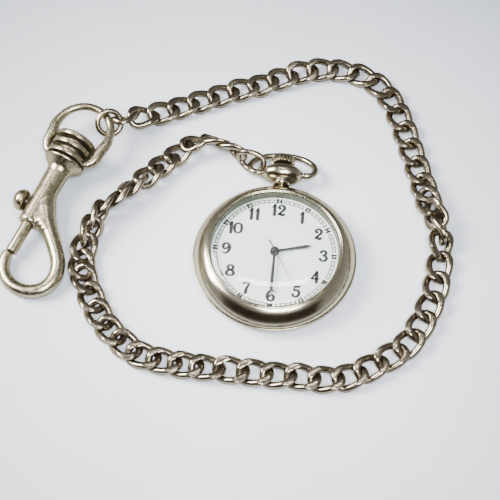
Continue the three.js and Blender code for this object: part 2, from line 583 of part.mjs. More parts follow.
// Hands: tapering batons, each pressed on its own pipe or arbor.
function buildHands() {
  const blade = (length, root, mid, z, thick) => plate([
    [-root, 0], [root, 0], [mid, 0.86 * length], [0, length], [-mid, 0.86 * length],
  ], z, z + thick);
  const turn = (g, degrees) => g.rotateZ(-THREE.MathUtils.degToRad(degrees));
  const hand = (name, body, boss, bore, degrees) => {
    add(name, turn(joined(body, [boss], [bore]), degrees), MATERIAL.hands);
  };
  hand('hour_hand', blade(HOUR_HAND, 0.36, 0.5, 6.72, 0.2), disc(1.55, 6.72, 6.92),
    disc(0.98, 6, 8), TIME.hour);
  hand('minute_hand', blade(MINUTE_HAND, 0.34, 0.46, 7.35, 0.2), disc(1.35, 7.35, 7.55),
    disc(0.58, 6, 9), TIME.minute);
  const tail = plate([[-0.2, -3.6], [0.2, -3.6], [0.14, 0], [-0.14, 0]], 7.85, 7.97);
  const needle = plate([[-0.14, 0], [0.14, 0], [0.07, SECOND_HAND], [-0.07, SECOND_HAND]], 7.85, 7.97);
  hand('second_hand', joined(needle, [tail]), disc(0.8, 7.8, 8.12), disc(0.23, 7, 8.07), TIME.second);
}

buildCase();
buildPendant();
buildBow();
buildChain();
buildHook();
buildMovement();
buildHands();

export default group;
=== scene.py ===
import json
import math

import bmesh
import bpy
import numpy as np
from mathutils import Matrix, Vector


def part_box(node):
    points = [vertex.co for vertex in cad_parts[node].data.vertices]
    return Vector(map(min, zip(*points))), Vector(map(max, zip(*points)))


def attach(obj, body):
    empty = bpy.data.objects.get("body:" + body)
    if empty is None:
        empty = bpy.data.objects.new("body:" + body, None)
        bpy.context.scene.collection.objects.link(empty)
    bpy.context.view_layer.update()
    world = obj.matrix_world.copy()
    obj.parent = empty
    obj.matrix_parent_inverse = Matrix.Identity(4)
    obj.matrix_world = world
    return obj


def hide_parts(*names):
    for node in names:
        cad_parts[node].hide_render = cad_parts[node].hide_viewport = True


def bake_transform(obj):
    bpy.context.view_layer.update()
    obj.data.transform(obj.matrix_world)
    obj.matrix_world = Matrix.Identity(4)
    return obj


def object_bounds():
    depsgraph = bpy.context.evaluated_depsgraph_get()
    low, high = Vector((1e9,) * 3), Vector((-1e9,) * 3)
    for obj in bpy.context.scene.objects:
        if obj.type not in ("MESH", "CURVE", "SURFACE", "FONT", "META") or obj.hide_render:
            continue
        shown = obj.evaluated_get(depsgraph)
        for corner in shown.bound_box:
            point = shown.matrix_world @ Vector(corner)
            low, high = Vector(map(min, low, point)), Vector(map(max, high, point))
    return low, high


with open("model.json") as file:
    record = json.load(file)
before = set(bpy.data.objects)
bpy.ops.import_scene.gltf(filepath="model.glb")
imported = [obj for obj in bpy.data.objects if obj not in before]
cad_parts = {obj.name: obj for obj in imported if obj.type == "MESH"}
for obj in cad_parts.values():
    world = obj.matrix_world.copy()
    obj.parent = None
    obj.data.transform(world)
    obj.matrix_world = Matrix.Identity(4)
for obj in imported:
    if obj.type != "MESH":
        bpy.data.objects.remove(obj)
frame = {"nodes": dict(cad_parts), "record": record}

# Pocket watch on a curb chain with a swivel snap hook. Lengths below are millimetres in the row
# frame unless a name says otherwise; MM turns them into Blender's metres.
MM = 0.001
CAD_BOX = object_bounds()
NODES = frame["nodes"]
RNG = np.random.default_rng(7)


def node_box(name):
    """Lowest and highest corner of a CAD node, in millimetres."""
    low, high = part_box(name)
    return np.array(low) / MM, np.array(high) / MM


# ---------------------------------------------------------------- camera
CAMERA_AT = (8.3, -165.9, 306.9)
CAMERA_ELEVATION = 61.0  # degrees above the table
CAMERA_HEADING = 5.3  # degrees, turned towards -X
CAMERA_LENS = 86.4  # millimetres, on the default 36 mm sensor


def make_camera():
    data = bpy.data.cameras.new("camera")
    data.lens = CAMERA_LENS
    data.clip_start = 0.01
    cam = bpy.data.objects.new("camera", data)
    cam.location = [v * MM for v in CAMERA_AT]
    cam.rotation_euler = (math.radians(90 - CAMERA_ELEVATION), 0, math.radians(CAMERA_HEADING))
    bpy.context.scene.collection.objects.link(cam)
    bpy.context.scene.camera = cam


make_camera()


# ---------------------------------------------------------------- curves and meshes
def unit(v):
    v = np.asarray(v, float)
    return v / np.linalg.norm(v, axis=-1, keepdims=True)


def smooth_line(points, step):
    """Catmull-Rom line through points, resampled about every step."""
    p = np.asarray(points, float)
    ring = np.vstack([2 * p[0] - p[1], p, 2 * p[-1] - p[-2]])
    fine = []
    t = np.linspace(0, 1, 24, endpoint=False)[:, None]
    for a, b, c, d in zip(ring, ring[1:], ring[2:], ring[3:]):
        fine.append(0.5 * (2 * b + (c - a) * t + (2 * a - 5 * b + 4 * c - d) * t**2
                           + (3 * b - a - 3 * c + d) * t**3))
    fine = np.vstack(fine + [p[-1:]])
    along = np.concatenate([[0], np.cumsum(np.linalg.norm(np.diff(fine, axis=0), axis=1))])
    count = max(4, int(round(along[-1] / step)))
    at = np.linspace(0, along[-1], count + 1)
    return np.stack([np.interp(at, along, fine[:, k]) for k in range(p.shape[1])], 1)


def rounded(profile, radius, steps=5, closed=False):
    """Polyline with each corner replaced by a short curve."""
    p = np.asarray(profile, float)
    n = len(p)
    out = []
    for i in range(n):
        if not closed and i in (0, n - 1):
            out.append(p[i])
            continue
        before, here, after = p[(i - 1) % n], p[i], p[(i + 1) % n]
        to_before, to_after = before - here, after - here
        reach = min(radius, 0.45 * np.linalg.norm(to_before), 0.45 * np.linalg.norm(to_after))
        start = here + unit(to_before) * reach
        end = here + unit(to_after) * reach
        for t in np.linspace(0, 1, steps):
            out.append((1 - t) ** 2 * start + 2 * t * (1 - t) * here + t**2 * end)
    return np.array(out)


def grid_faces(rows, columns, close_rows):
    """Quads over a grid of rows by columns, whose columns always close on themselves."""
    faces = []
    for i in range(rows if close_rows else rows - 1):
        for j in range(columns):
            k, nxt = (j + 1) % columns, (i + 1) % rows
            faces.append((i * columns + j, i * columns + k, nxt * columns + k, nxt * columns + j))
    return faces


def swept(line, radius, sides=16, closed=False):
    """Round bar along a line. radius is a number or one for each point."""
    line = np.asarray(line, float)
    n = len(line)
    if closed:
        tangent = unit(np.roll(line, -1, 0) - np.roll(line, 1, 0))
    else:
        tangent = unit(np.gradient(line, axis=0))
    normal = np.zeros_like(line)
    first = np.array([0, 0, 1.0]) if abs(tangent[0][2]) < 0.9 else np.array([1.0, 0, 0])
    normal[0] = unit(first - tangent[0] * (first @ tangent[0]))
    for i in range(1, n):
        carried = normal[i - 1] - tangent[i] * (normal[i - 1] @ tangent[i])
        normal[i] = unit(carried)
    side = np.cross(tangent, normal)
    radius = np.broadcast_to(np.asarray(radius, float), n)
    turn = 2 * np.pi * np.arange(sides) / sides
    points = (line[:, None, :]
              + radius[:, None, None] * (np.cos(turn)[None, :, None] * normal[:, None, :]
                                         + np.sin(turn)[None, :, None] * side[:, None, :]))
    faces = grid_faces(n, sides, closed)
    if not closed:
        faces.append(tuple(range(sides))[::-1])
        faces.append(tuple((n - 1) * sides + j for j in range(sides)))
    return points.reshape(-1, 3), faces


def revolved(profile, segments=160, closed=False):
    """Profile of (radius, height) turned about Z. Points at radius 0 become one vertex."""
    verts, faces, rows = [], [], []
    turn = 2 * np.pi * np.arange(segments) / segments
    for r, z in profile:
        if r < 1e-6:
            rows.append([len(verts)] * segments)
            verts.append((0, 0, z))
        else:
            rows.append(list(range(len(verts), len(verts) + segments)))
            verts += [(r * math.cos(t), r * math.sin(t), z) for t in turn]
    pairs = list(zip(rows, rows[1:])) + ([(rows[-1], rows[0])] if closed else [])
    for low, high in pairs:
        for j in range(segments):
            k = (j + 1) % segments
            face = []
            for v in (low[j], low[k], high[k], high[j]):
                if v not in face:
                    face.append(v)
            if len(face) > 2:
                faces.append(tuple(face))
    return np.array(verts, float), faces


def moved(verts, columns, at):
    """Vertices carried from their own axes to the given column axes and place."""
    return verts @ np.stack(columns, 0) + np.asarray(at, float)


def merged(parts):
    """Several shapes as one, each still its own closed surface."""
    verts, faces, base = [], [], 0
    for v, f in parts:
        verts.append(v)
        faces += [tuple(i + base for i in face) for face in f]
        base += len(v)
    return np.vstack(verts), faces


def recalculate_normals(mesh):
    bm = bmesh.new()
    bm.from_mesh(mesh)
    bmesh.ops.recalc_face_normals(bm, faces=bm.faces)
    bm.to_mesh(mesh)
    bm.free()


def raw_object(name, shape):
    verts, faces = shape
    mesh = bpy.data.meshes.new(name)
    mesh.from_pydata((np.asarray(verts) * MM).tolist(), [], faces)
    mesh.validate()
    recalculate_normals(mesh)
    obj = bpy.data.objects.new(name, mesh)
    bpy.context.scene.collection.objects.link(obj)
    return obj


def finish_piece(obj, material, body, replaces=(), angle=40):
    """Material, shading and body of a piece, with the CAD parts it replaces hidden. Edges sharper than the
    angle stay crisp.
    """
    obj.data.materials.clear()
    obj.data.materials.append(material)
    obj.data.shade_smooth()
    obj.data.set_sharp_from_angle(angle=math.radians(angle))
    if body:
        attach(obj, body)
    if replaces:
        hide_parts(*replaces)


def make_piece(name, shape, material, body, replaces=(), angle=40):
    obj = raw_object(name, shape)
    finish_piece(obj, material, body, replaces, angle)
    return obj


# ---------------------------------------------------------------- materials
class Nodes:
    """Short way to build a material's node tree."""

    def __init__(self, name):
        self.material = bpy.data.materials.new(name)
        self.material.use_nodes = True
        self.tree = self.material.node_tree
        self.tree.nodes.clear()
        self.out = self.add("ShaderNodeOutputMaterial")
        self.coord = self.add("ShaderNodeTexCoord").outputs["Object"]

    def add(self, kind, **values):
        node = self.tree.nodes.new(kind)
        for key, value in values.items():
            if key in node.inputs.keys():
                self.set(node.inputs[key], value)
            else:
                setattr(node, key, value)
        return node

    def set(self, socket, value):
        if isinstance(value, bpy.types.NodeSocket):
            self.tree.links.new(value, socket)
        else:
            socket.default_value = value

    def noise(self, per_mm, detail=3.0, roughness=0.55, stretch=None):
        node = self.add("ShaderNodeTexNoise", Scale=per_mm / MM, Detail=detail)
        node.inputs["Roughness"].default_value = roughness
        source = self.coord
        if stretch:
            mapping = self.add("ShaderNodeMapping", Vector=self.coord)
            mapping.inputs["Scale"].default_value = stretch
            source = mapping.outputs[0]
        self.set(node.inputs["Vector"], source)
        return node.outputs["Fac"]

    def span(self, value, low, high, to_low=0.0, to_high=1.0):
        node = self.add("ShaderNodeMapRange", clamp=True)
        for key, v in (("Value", value), ("From Min", low), ("From Max", high),
                       ("To Min", to_low), ("To Max", to_high)):
            self.set(node.inputs[key], v)
        return node.outputs[0]

    def maths(self, operation, a, b):
        node = self.add("ShaderNodeMath", operation=operation)
        self.set(node.inputs[0], a)
        self.set(node.inputs[1], b)
        return node.outputs[0]

    def mix(self, factor, a, b):
        node = self.add("ShaderNodeMix", data_type="RGBA")
        self.set(node.inputs["Factor"], factor)
        self.set(node.inputs["A"], a)
        self.set(node.inputs["B"], b)
        return node.outputs["Result"]

    def bump(self, height, strength, depth_mm):
        node = self.add("ShaderNodeBump", Height=height, Strength=strength, Distance=depth_mm * MM)
        return node.outputs["Normal"]

    def principled(self, **values):
        shader = self.add("ShaderNodeBsdfPrincipled")
        for key, value in values.items():
            self.set(shader.inputs[key.replace("_", " ")], value)
        self.set(self.out.inputs["Surface"], shader.outputs[0])
        return shader


def rgb(r, g, b):
    return (r, g, b, 1.0)


EDGE_TINT = rgb(0.5, 0.45, 0.36)  # nickel darkens a little where it is seen edge-on
# Colour laid into the hollows of plated parts: real patina together with painted shade.
SHADE_AND_GRIME = rgb(0.07, 0.05, 0.033)
PIT = rgb(0.16, 0.12, 0.08)
SPECK = rgb(0.22, 0.17, 0.12)
# Colour of the case seams: soiling together with painted shade.
SEAM_SHADE_AND_DIRT = rgb(0.05, 0.038, 0.026)


def plated(name, light, dark, rough, wear, grime_and_shade, reach, pits):
    """Plated metal: cloudy tone, rubbed spots, fine scratches, pits, and patina with painted shade in the
    hollows.
    """
    n = Nodes(name)
    clouds = n.noise(0.22, 4)
    rubbed = n.noise(0.9, 5, 0.65)
    scratch = n.noise(1.3, 3, 0.6, stretch=(1, 9, 4))
    grain = n.noise(7.0, 2)
    speck = n.span(n.noise(2.4, 2), 0.66, 0.74)
    between = rgb(*[0.5 * (a + b) for a, b in zip(light, dark)])
    tone = n.mix(n.span(clouds, 0.35, 0.68), rgb(*light), between)
    tone = n.mix(n.maths("MULTIPLY", n.span(rubbed, 0.5, 0.75), wear * 0.5), tone, rgb(*dark))
    # Ambient occlusion darkens the hollows towards this colour: partly real patina, partly painted shade
    # where little light reaches.
    hollow = n.add("ShaderNodeAmbientOcclusion", Distance=reach * MM, samples=8)
    dirt_and_shade = n.span(hollow.outputs["AO"], 0.25, 0.85, grime_and_shade, 0.0)
    tone = n.mix(dirt_and_shade, tone, SHADE_AND_GRIME)
    tone = n.mix(n.maths("MULTIPLY", speck, pits * 0.7), tone, PIT)
    surface = n.span(rubbed, 0.3, 0.75, rough * 0.7, rough * 1.5)
    surface = n.maths("ADD", surface, n.maths("MULTIPLY", dirt_and_shade, 0.35))
    height = n.maths("ADD", n.maths("MULTIPLY", scratch, 0.5), n.maths("MULTIPLY", grain, 0.35))
    height = n.maths("SUBTRACT", height, n.maths("MULTIPLY", speck, pits))
    n.principled(Base_Color=tone, Metallic=1.0, Roughness=surface, Specular_Tint=EDGE_TINT,
                 Normal=n.bump(height, 0.2 * (0.25 + wear), 0.03))
    return n.material


def polished(name, light, dark, rough):
    """Bright case metal: mirror-like, with a soft haze, hairlines, a few dark specks, and seams darkened by
    painted shade and soiling.
    """
    n = Nodes(name)
    haze = n.noise(0.35, 4, 0.6)
    hair = n.noise(1.6, 2, 0.5, stretch=(1, 14, 5))
    specks = n.span(n.noise(1.9, 2), 0.70, 0.76)
    tone = n.mix(n.span(haze, 0.35, 0.7), rgb(*light), rgb(*dark))
    tone = n.mix(n.maths("MULTIPLY", specks, 0.55), tone, SPECK)
    # Ambient occlusion darkens the seams: soiling in them together with painted shade.
    seam = n.add("ShaderNodeAmbientOcclusion", Distance=0.7 * MM, samples=8)
    tone = n.mix(n.span(seam.outputs["AO"], 0.3, 0.75, 0.9, 0.0), tone, SEAM_SHADE_AND_DIRT)
    surface = n.span(haze, 0.3, 0.75, rough * 0.85, rough * 1.2)
    n.principled(Base_Color=tone, Metallic=1.0, Roughness=surface, Specular_Tint=EDGE_TINT,
                 Normal=n.bump(n.maths("SUBTRACT", hair, specks), 0.1, 0.01))
    return n.material


def coated(name, base, other, rough, grain_per_mm, depth_mm, metallic=0.0):
    """Paint, plastic or rubber with a slight mottle and a fine grain."""
    n = Nodes(name)
    mottle = n.noise(grain_per_mm * 0.15, 3)
    grain = n.noise(grain_per_mm, 3)
    n.principled(Base_Color=n.mix(mottle, rgb(*base), rgb(*other)), Metallic=metallic,
                 Roughness=n.span(grain, 0.3, 0.7, rough * 0.85, rough * 1.15),
                 Normal=n.bump(grain, 0.2, depth_mm))
    return n.material


def crystal_glass():
    """Clear dome, a little smeared, which mirrors the room on its outward faces only."""
    n = Nodes("crystal_glass")
    clear = n.add("ShaderNodeBsdfTransparent")
    clear.inputs["Color"].default_value = rgb(0.985, 0.995, 0.988)
    smear = n.noise(0.12, 4)
    gloss = n.add("ShaderNodeBsdfGlossy", Roughness=n.span(smear, 0.35, 0.7, 0.02, 0.07))
    gloss.inputs["Color"].default_value = rgb(1, 1, 1)
    fresnel = n.add("ShaderNodeFresnel", IOR=1.55)
    geometry = n.add("ShaderNodeNewGeometry")
    outside = n.maths("SUBTRACT", 1.0, geometry.outputs["Backfacing"])
    both = n.add("ShaderNodeMixShader")
    n.set(both.inputs[0], n.maths("MULTIPLY", fresnel.outputs[0], outside))
    n.set(both.inputs[1], clear.outputs[0])
    n.set(both.inputs[2], gloss.outputs[0])
    n.set(n.out.inputs["Surface"], both.outputs[0])
    return n.material


def winding():
    """Enamelled wire, wound in close turns."""
    n = Nodes("coil_winding")
    wave = n.add("ShaderNodeTexWave", Scale=4.0 / MM, Distortion=0.3)
    n.set(wave.inputs["Vector"], n.coord)
    n.principled(Base_Color=n.mix(wave.outputs["Fac"], rgb(0.30, 0.09, 0.03), rgb(0.75, 0.32, 0.14)),
                 Metallic=1.0, Roughness=n.span(n.noise(3.0), 0.3, 0.7, 0.3, 0.45),
                 Normal=n.bump(wave.outputs["Fac"], 0.6, 0.03))
    return n.material


def board_lacquer():
    """Green circuit board with buried copper tracks."""
    n = Nodes("circuit_lacquer")
    cells = n.add("ShaderNodeTexVoronoi", Scale=0.9 / MM, distance="MANHATTAN", feature="DISTANCE_TO_EDGE")
    n.set(cells.inputs["Vector"], n.coord)
    track = n.span(cells.outputs["Distance"], 0.03, 0.06, 1.0, 0.0)
    n.principled(Base_Color=n.mix(track, rgb(0.02, 0.16, 0.07), rgb(0.12, 0.36, 0.14)),
                 Roughness=n.span(n.noise(2.0), 0.3, 0.7, 0.25, 0.4), Normal=n.bump(track, 0.4, 0.03))
    return n.material


def table_paper():
    """Matt white paper with painted shade, darker away from the middle."""
    n = Nodes("table_paper")
    soft = n.noise(0.02, 3)
    reach = n.add("ShaderNodeVectorMath", operation="LENGTH")
    n.set(reach.inputs[0], n.coord)
    # Painted shade: the paper's colour darkens with distance from the middle, as the light falls off.
    edge = n.span(n.maths("ADD", reach.outputs["Value"], n.maths("MULTIPLY", soft, 0.02)), 0.03, 0.15)
    n.principled(Base_Color=n.mix(edge, rgb(0.68, 0.725, 0.795), rgb(0.25, 0.27, 0.30)),
                 Roughness=n.span(n.noise(0.8), 0.3, 0.7, 0.55, 0.7),
                 Normal=n.bump(n.noise(2.5), 0.05, 0.02))
    return n.material


CASE = polished("case_nickel", (0.44, 0.40, 0.295), (0.37, 0.335, 0.24), rough=0.18)
CASE_WORN = plated("pendant_nickel", (0.35, 0.31, 0.222), (0.22, 0.19, 0.13),
                   rough=0.19, wear=0.3, grime_and_shade=0.85, reach=1.2, pits=0.3)
CHAIN = plated("chain_nickel", (0.27, 0.23, 0.168), (0.10, 0.08, 0.056),
               rough=0.2, wear=0.5, grime_and_shade=0.98, reach=2.3, pits=0.5)
HOOK = plated("hook_nickel", (0.37, 0.328, 0.222), (0.22, 0.187, 0.122),
              rough=0.25, wear=0.2, grime_and_shade=0.97, reach=2.2, pits=0.4)
BRIGHT = plated("movement_steel", (0.62, 0.62, 0.62), (0.45, 0.45, 0.45),
                rough=0.3, wear=0.3, grime_and_shade=0.2, reach=0.4, pits=0.2)
BRASS = plated("wheel_brass", (0.78, 0.60, 0.28), (0.55, 0.40, 0.17),
               rough=0.3, wear=0.4, grime_and_shade=0.3, reach=0.4, pits=0.3)
INK_HANDS = coated("hand_lacquer", (0.030, 0.032, 0.036), (0.06, 0.06, 0.065),
                   rough=0.32, grain_per_mm=3.0, depth_mm=0.006, metallic=0.6)
PRINT = coated("dial_ink", (0.006, 0.006, 0.007), (0.014, 0.014, 0.014),
               rough=0.6, grain_per_mm=6.0, depth_mm=0.003)
DIAL = coated("dial_enamel", (0.71, 0.755, 0.71), (0.685, 0.73, 0.685),
              rough=0.5, grain_per_mm=4.0, depth_mm=0.002)
REHAUT = coated("glass_edge", (0.12, 0.132, 0.10), (0.08, 0.09, 0.066),
                rough=0.25, grain_per_mm=1.0, depth_mm=0.01, metallic=0.3)
RUBBER = coated("gasket_rubber", (0.05, 0.05, 0.05), (0.08, 0.08, 0.075),
                rough=0.7, grain_per_mm=3.0, depth_mm=0.02)
BLACK_PLASTIC = coated("plate_plastic", (0.02, 0.022, 0.025), (0.035, 0.037, 0.04),
                       rough=0.5, grain_per_mm=3.0, depth_mm=0.015)
WHITE_PLASTIC = coated("holder_plastic", (0.62, 0.62, 0.59), (0.70, 0.70, 0.67),
                       rough=0.5, grain_per_mm=3.0, depth_mm=0.015)
GLASS = crystal_glass()
SLOT_LOOKS = {
    "case": CASE, "chain": CHAIN, "hook": HOOK, "steel": BRIGHT, "brass": BRASS, "copper": winding(),
    "hands": INK_HANDS, "dial": DIAL, "movement": BLACK_PLASTIC, "holder": WHITE_PLASTIC,
    "board": board_lacquer(), "gasket": RUBBER, "glass": GLASS,
}


def paint_cad_nodes():
    for part in frame["record"]["subparts"]:
        obj = NODES[part["node"]]
        look = SLOT_LOOKS[part["material_slot"]]
        obj.data.materials.clear()
        obj.data.materials.append(look)


paint_cad_nodes()

# ---------------------------------------------------------------- chain
# Half length, half width, twist and wire radius of a link, measured to the middle of its wire.
LINK_A, LINK_B, LINK_TWIST, LINK_WIRE = 4.3, 3.0, 1.05, 1.03
END_A, END_TWIST, END_WIRE = 4.2, 0.7, 0.86  # the flatter link on the bow
FACET = 1.42  # height at which a link's high sides are worn flat
# Places of the link on the bow, the ring on the swivel eye and the link before it.
BOW_LINK = {"at": (-9.8, 31.8, 4.0), "long": (-0.9, 0.4, 0.0), "normal": (0.3, 0.8, -0.4)}
JUMP_RING = {"at": (-53.4, 38.9, 8.0), "long": (0.87, 0.49, 0.0), "normal": (0.33, -0.58, 0.75)}
JUMP_RING_R, JUMP_RING_WIRE = 3.6, 0.85
LAST_LINK = {"at": (-48.9, 42.4, 6.3), "long": (0.55, 0.67, -0.5), "normal": (-0.37, 0.65, 0.66)}

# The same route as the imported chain's: from the bow, round the watch, to the swivel eye.
CHAIN_ROUTE = [
    (-17.4, 36.3, 2.6), (-20.3, 37.8, 2.1), (-23.6, 38.3, 1.9), (-27.6, 37.1, 1.9), (-31.8, 33.8, 1.9),
    (-40, 24.8, 1.9), (-47, 16.5, 2.2), (-52, 11, 2.8), (-53.8, 5, 2.4), (-55.5, -3, 1.9),
    (-54.3, -10, 1.9), (-48, -22, 1.9), (-43.5, -27.3, 1.9), (-36.5, -32.5, 1.9), (-29, -34.6, 1.9),
    (-16.5, -35.6, 1.9), (-3, -35.8, 1.9), (10.5, -36.3, 1.9), (17.5, -35.9, 1.9), (24, -34.3, 1.9),
    (35, -27.3, 1.9), (40.5, -21.3, 1.9), (45.3, -10, 1.9), (47.6, 1, 1.9), (47.6, 12, 2.2),
    (45.8, 18, 2.6), (44, 23, 2.2), (41.3, 32.5, 1.9), (35.3, 51, 1.9), (32.2, 58.5, 1.9),
    (28.2, 64.3, 1.9), (22.8, 68.1, 1.9), (16.3, 69.9, 1.9), (9.5, 69.9, 1.9), (3, 67.9, 1.9),
    (-8.5, 62.5, 1.9), (-20, 57.5, 1.9), (-32, 51.7, 1.9), (-39, 48.4, 2.2), (-44, 46, 3), (-47.2, 43.9, 4.4),
]
LEAD_LINKS = 5  # links that lift with the bow
FIRST_AT = -1.9  # centre of the first link, against the start of the route
LAST_AT = -3.6  # and of the last one on the route, against its end
# Links and their spacing, in order from the bow: drawn up in places and taut elsewhere.
PITCH_RUNS = [(6, 6.1), (7, 5.25), (8, 6.2), (14, 6.7), (4, 5.2), (18, 6.7)]
# Turn of a link about the chain's line against the link's number.
ROLL_STOPS = [
    (0, 72), (1, 58), (2, 35), (3, 15), (5, 15), (6, 40), (8, 75), (10, 130), (11, 170), (12, 180), (33, 180),
    (35, 205), (36, 250), (37, 305), (38, 345), (40, 360), (60, 360),
]
ROLL_SPREAD, YAW_SPREAD = 5, 3.5  # degrees by which a link's turn and heading stray
LINK_REACH = 2.5  # half the stretch of route that sets a link's direction
LINK_SINK = 0.35  # a link's centre lies this far under the route
BOX_GAP = 0.03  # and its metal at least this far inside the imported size


def curb_link(length, twist, wire, segments=56, sides=14):
    """Twisted link lying flat about the origin, longest along X, with its high sides worn down."""
    t = 2 * np.pi * np.arange(segments) / segments
    squarer = 0.9  # plan a little fuller than an ellipse
    line = np.stack([
        length * np.sign(np.cos(t)) * np.abs(np.cos(t)) ** squarer,
        LINK_B * np.sign(np.sin(t)) * np.abs(np.sin(t)) ** squarer,
        -twist * np.sin(2 * t),
    ], 1)
    verts, faces = swept(line, wire, sides, closed=True)
    over = np.abs(verts[:, 2]) - FACET
    verts[:, 2] -= np.sign(verts[:, 2]) * np.where(over > 0, 0.88 * over, 0)
    return verts, faces


def set_at(shape, place):
    """Shape carried to a place, its X axis along "long" and its Z axis nearest to "normal"."""
    verts, faces = shape
    x = unit(place["long"])
    z = np.asarray(place["normal"], float)
    z = unit(z - x * (z @ x))
    return moved(verts, (x, np.cross(z, x), z), place["at"]), faces


def link_stations():
    """Distance of each link's centre along the route, scaled to use the whole of it."""
    gaps = [pitch for count, pitch in PITCH_RUNS for _ in range(count)]
    at = np.concatenate([[0], np.cumsum(gaps)])
    return FIRST_AT + at * (ROUTE_LENGTH + LAST_AT - FIRST_AT) / at[-1]


ROUTE = smooth_line(CHAIN_ROUTE, 0.5)
ROUTE_AT = np.concatenate([[0], np.cumsum(np.linalg.norm(np.diff(ROUTE, axis=0), axis=1))])
ROUTE_LENGTH = ROUTE_AT[-1]


def route_point(at):
    if at < 0:
        return ROUTE[0] + at * unit(ROUTE[2] - ROUTE[0])
    return np.array([np.interp(at, ROUTE_AT, ROUTE[:, k]) for k in range(3)])


def placed_links():
    """Links along the route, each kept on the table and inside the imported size."""
    low, high = [np.array(corner) / MM for corner in CAD_BOX]
    stations = link_stations()
    links = []
    stops = np.array(ROLL_STOPS, float)
    for i, at in enumerate(stations):
        tangent = unit(route_point(at + LINK_REACH) - route_point(at - LINK_REACH))
        roll = math.radians(np.interp(i, stops[:, 0], stops[:, 1]) + RNG.normal(0, ROLL_SPREAD))
        yaw = math.radians(RNG.normal(0, YAW_SPREAD))
        side = unit(np.cross([0, 0, 1.0], tangent))
        tangent = unit(tangent * math.cos(yaw) + side * math.sin(yaw))
        side = unit(np.cross([0, 0, 1.0], tangent))
        up = np.cross(tangent, side)
        y = side * math.cos(roll) + up * math.sin(roll)
        z = -side * math.sin(roll) + up * math.cos(roll)
        centre = route_point(at)
        half = math.hypot((LINK_B + LINK_WIRE) * math.sin(roll), (FACET + 0.15) * math.cos(roll))
        centre[2] = max(centre[2] - LINK_SINK, half + 0.05)
        verts, faces = curb_link(LINK_A, LINK_TWIST, LINK_WIRE)
        verts = moved(verts, (tangent, y, z), centre)
        verts += np.maximum(low + BOX_GAP - verts.min(0), 0)
        verts += np.minimum(high - BOX_GAP - verts.max(0), 0)
        links.append((verts, faces))
    return links


def build_chain():
    links = placed_links()
    lead = make_piece("chain_lead_links", merged(links[:LEAD_LINKS]), CHAIN, None)
    main = make_piece("chain_links", merged(links[LEAD_LINKS:]), CHAIN, "case", ["chain"])
    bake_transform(lead)
    first = make_piece("bow_end_link", set_at(curb_link(END_A, END_TWIST, END_WIRE), BOW_LINK), CHAIN,
                       "bow", ["bow_link"])
    t = 2 * np.pi * np.arange(72) / 72
    ring_line = JUMP_RING_R * np.stack([np.cos(t), np.sin(t), 0 * t], 1)
    ring = swept(ring_line, JUMP_RING_WIRE, 16, closed=True)
    jump = make_piece("hook_end_ring", set_at(ring, JUMP_RING), CHAIN, "case", ["jump_ring"])
    last = set_at(curb_link(LINK_A, LINK_TWIST, LINK_WIRE), LAST_LINK)
    make_piece("hook_end_link", last, CHAIN, "case")
    return main, lead, first, jump


MAIN_CHAIN, LEAD_CHAIN, BOW_END, HOOK_END = build_chain()

# ---------------------------------------------------------------- case
CASE_R, BEZEL_R, LIP_R = 23.6, 23.15, 18.7
LIP_Z, SEAM_Z, BACK_Z = 8.9, 4.1, 1.7
DIAL_Z = node_box("dial")[1][2]
CRYSTAL_TOP = node_box("crystal")[1][2]


def build_case():
    dome = smooth_line([(BEZEL_R, 4.3), (23.1, 4.75), (22.6, 5.75), (21.8, 6.9), (20.9, 7.88), (19.95, 8.57),
                        (19.35, 8.83)], 0.16)
    bezel = np.vstack([
        [(21.3, SEAM_Z), (BEZEL_R - 0.2, SEAM_Z)], dome,
        rounded([(19.35, 8.83), (19.2, 8.73), (19.06, 8.78), (18.93, LIP_Z), (18.75, 8.83),
                 (LIP_R - 0.1, 8.5), (19.6, 7.8), (20.2, 7.35), (21.3, 6.8)], 0.08),
    ])
    make_piece("bezel_shell", revolved(bezel, 256, closed=True), CASE, "case", ["bezel"], 60)
    band = rounded([(21.4, BACK_Z), (22.3, BACK_Z), (22.95, 2.5), (23.45, 3.2), (CASE_R, 3.6), (23.5, 3.88),
                    (22.6, 3.95), (21.1, 3.95), (21.1, 6.2), (20.6, 6.2), (20.6, 2.85), (21.4, 2.85)],
                   0.25, closed=True)
    make_piece("case_band", revolved(band, 256, closed=True), CASE, "case", ["case_middle"], 50)
    back = np.vstack([
        [(0, 0), (8, 0), (15.5, 0)],
        smooth_line([(16, 0.0), (20, 0.4), (21.5, 1.0), (22.05, 1.45)], 0.3),
        rounded([(22.05, 1.45), (22, 1.55), (21.2, 1.55), (21.2, 2.2), (20.7, 2.2), (20.7, 1.3), (16, 0.95),
                 (0, 0.9)], 0.1),
    ])
    make_piece("back_shell", revolved(back, 224), CASE, "case", ["case_back"], 50)
    glass = np.vstack([
        smooth_line([(0, 9.5), (6, 9.43), (12, 9.1), (18.2, 8.05)], 0.8),
        [(18.4, 8.05), (18.44, 8.4)],
        rounded([(18.44, 8.4), (18.35, 8.95), (17.7, 9.35)], 0.3),
        smooth_line([(17.6, 9.4), (14.6, 9.95), (9, 10.35), (0, CRYSTAL_TOP)], 0.7),
    ])
    make_piece("crystal_dome", revolved(glass, 160), GLASS, "case", ["crystal"], 60)
    wall = rounded([(18.15, DIAL_Z + 0.03), (18.42, 7.2), (18.46, 8.35), (18.85, 8.1), (19.3, 7.7),
                    (19.3, DIAL_Z + 0.03)], 0.06, closed=True)
    make_piece("glass_edge_ring", revolved(wall, 192, closed=True), REHAUT, "case",
               ["crystal_gasket"], 40)


build_case()

